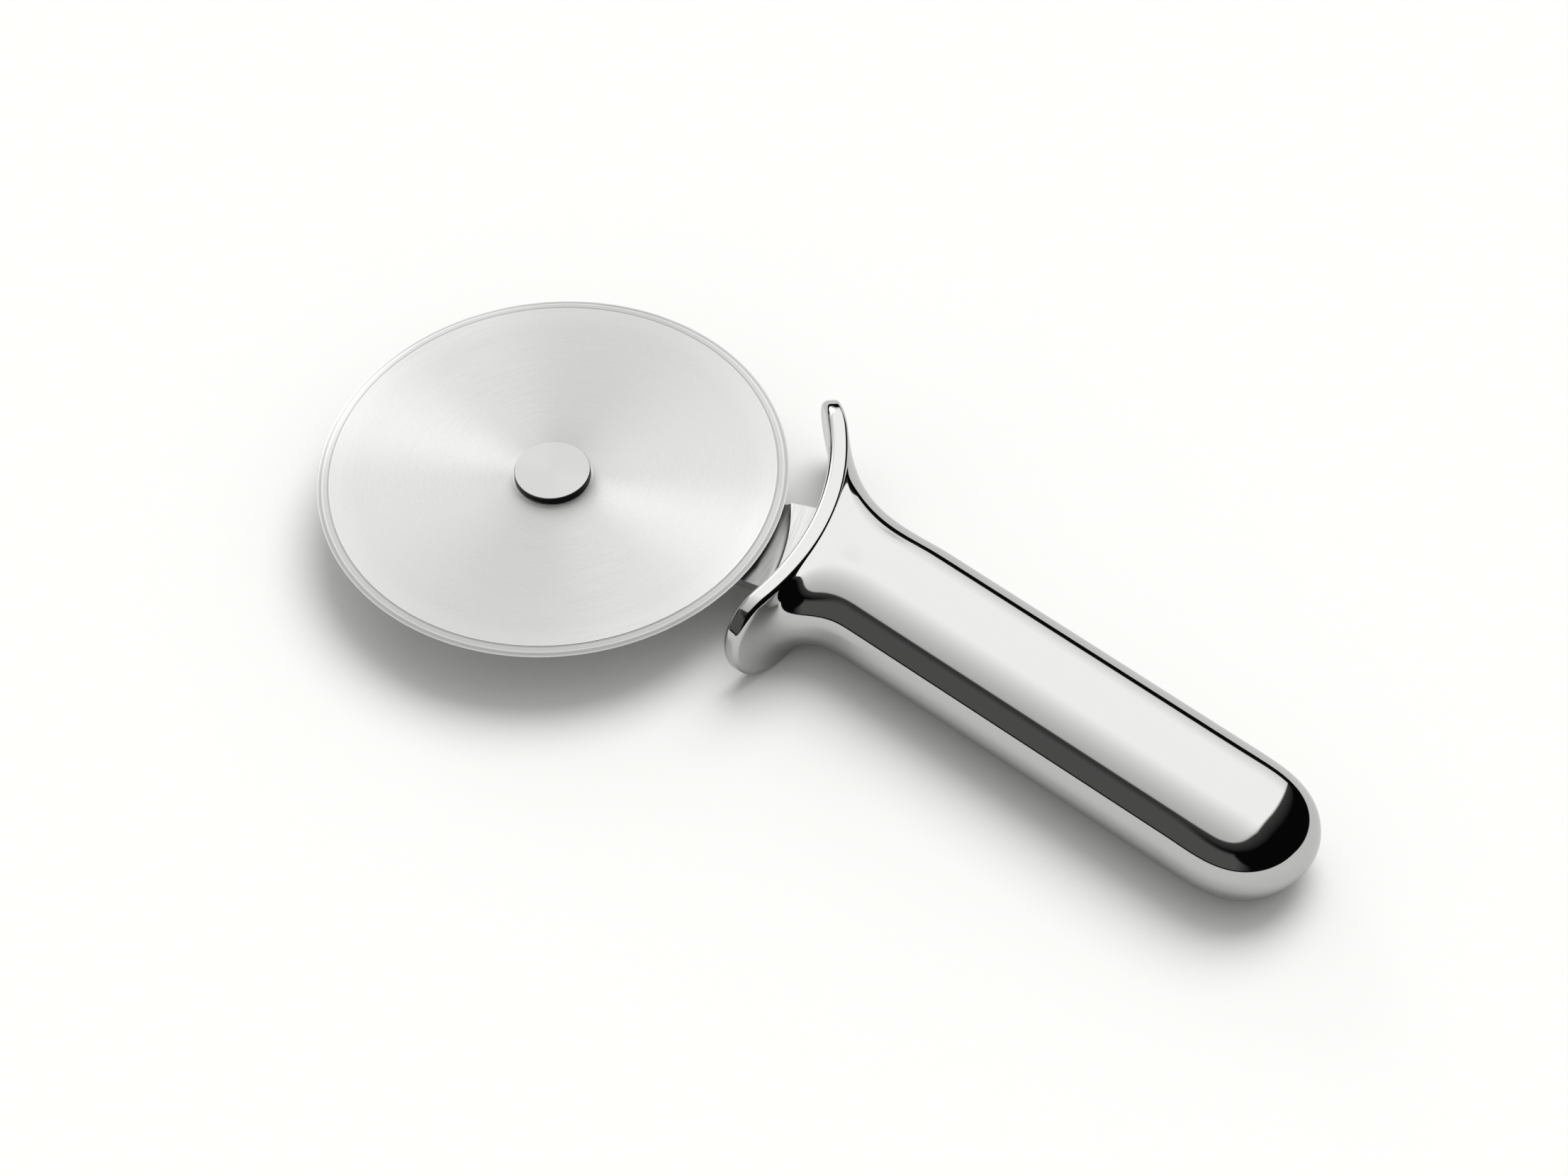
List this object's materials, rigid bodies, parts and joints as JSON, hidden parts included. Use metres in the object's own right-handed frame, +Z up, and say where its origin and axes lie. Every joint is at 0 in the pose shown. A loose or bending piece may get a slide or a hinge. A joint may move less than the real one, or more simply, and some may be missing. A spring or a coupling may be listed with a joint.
{
  "type": "pizza cutter",
  "caption": "Wheel cutter: a bevelled disc that spins free on a one-sided arm, with a flared finger guard and a smooth hollow steel grip.",
  "frame": {"origin": "middle of the footprint, on the table that the cutter lies on", "axes": "+X along the handle from the wheel to the domed end, +Z up, square to the wheel, +Y to the side that the grip stands off the axle"},
  "size_m": [0.243, 0.1032, 0.024],
  "materials": {
    "wheel_steel": "hardened stainless steel, ground and brushed in rings round the axle",
    "polished_steel": "stainless steel polished to a mirror",
    "satin_steel": "forged stainless steel with a satin brushed face",
    "washer_steel": "bare stamped stainless steel",
    "screw_steel": "bright machine-made stainless steel",
    "bush_brass": "turned brass",
    "filler_resin": "cast resin, hidden in the handle"
  },
  "bodies": {
    "handle": {"handle_upper_shell": "polished_steel", "handle_lower_shell": "polished_steel", "guard_plate": "polished_steel", "tang_filler": "filler_resin", "arm": "satin_steel", "hub_cap": "polished_steel", "axle_screw": "screw_steel", "front_washer": "washer_steel", "back_washer": "washer_steel"},
    "wheel": {"blade": "wheel_steel", "blade_bush": "bush_brass"}
  },
  "joints": [
    {"name": "blade_spin", "type": "hinge", "parent": "handle", "child": "wheel", "pos_m": [-0.07154, -0.0016, 0.01455], "axis": [0, 0, 1], "continuous": true}
  ]
}
